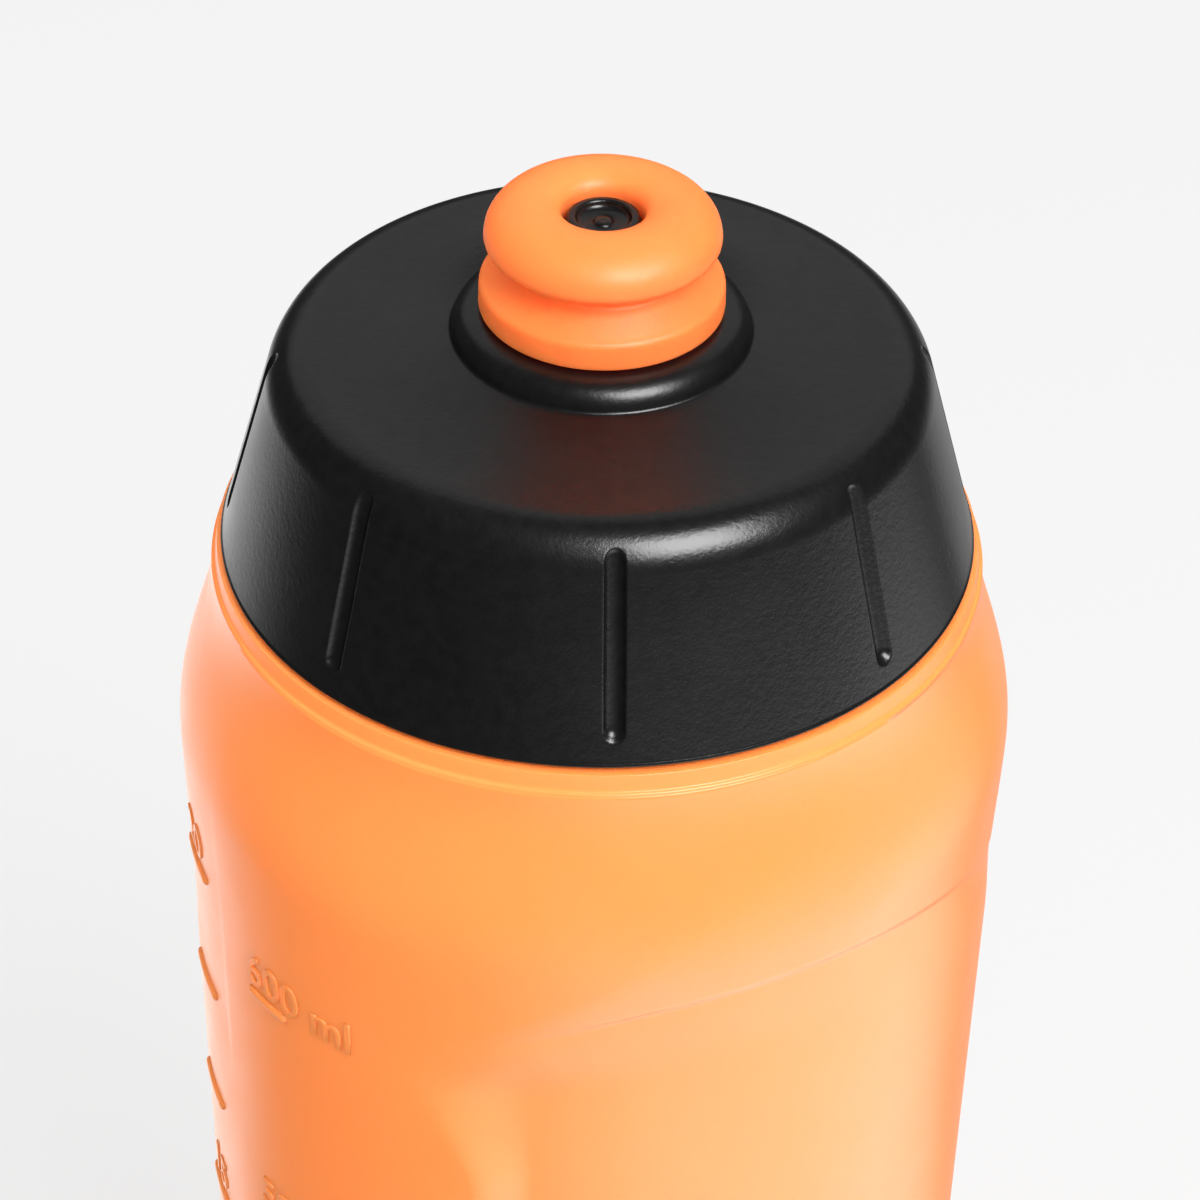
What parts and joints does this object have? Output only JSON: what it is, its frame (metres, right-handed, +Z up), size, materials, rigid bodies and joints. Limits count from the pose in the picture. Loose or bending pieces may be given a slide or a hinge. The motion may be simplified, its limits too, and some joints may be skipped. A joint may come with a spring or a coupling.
{
  "type": "sports squeeze bottle",
  "caption": "Round squeezable drinks bottle with sculpted hand grips, a screw lid and a push-pull spout that closes on a fixed central post.",
  "frame": {"origin": "centre of the base, on the surface that the bottle stands on", "axes": "+Z up along the bottle's axis, -Y towards the front, +X to the right as seen from the front"},
  "size_m": [0.0738, 0.0738, 0.2306],
  "materials": {
    "body_plastic": "milky translucent soft polyethylene, satin",
    "lid_plastic": "black polypropylene with a fine spark-eroded grain, satin",
    "seal_rubber": "off-white soft sealing ring",
    "spout_plastic": "soft opaque polyethylene, fine matt grain"
  },
  "bodies": {
    "bottle": {"bottle_body": "body_plastic"},
    "seal": {"seal_ring": "seal_rubber"},
    "lid": {"lid": "lid_plastic"},
    "spout": {"spout": "spout_plastic"}
  },
  "joints": [
    {"name": "lid_turn", "type": "hinge", "parent": "seal", "child": "lid", "pos_m": [0, 0, 0.198], "axis": [0, 0, 1], "range_deg": [0, 1800]},
    {"name": "lid_lift", "type": "slide", "parent": "bottle", "child": "seal", "axis": [0, 0, 1], "range_m": [0, 0.0251]},
    {"name": "spout_pull", "type": "slide", "parent": "lid", "child": "spout", "axis": [0, 0, 1], "range_m": [0, 0.0055]}
  ],
  "couplings": [
    {"joint": "lid_lift", "follows": "lid_turn", "m_per_rad": 0.00079577}
  ]
}
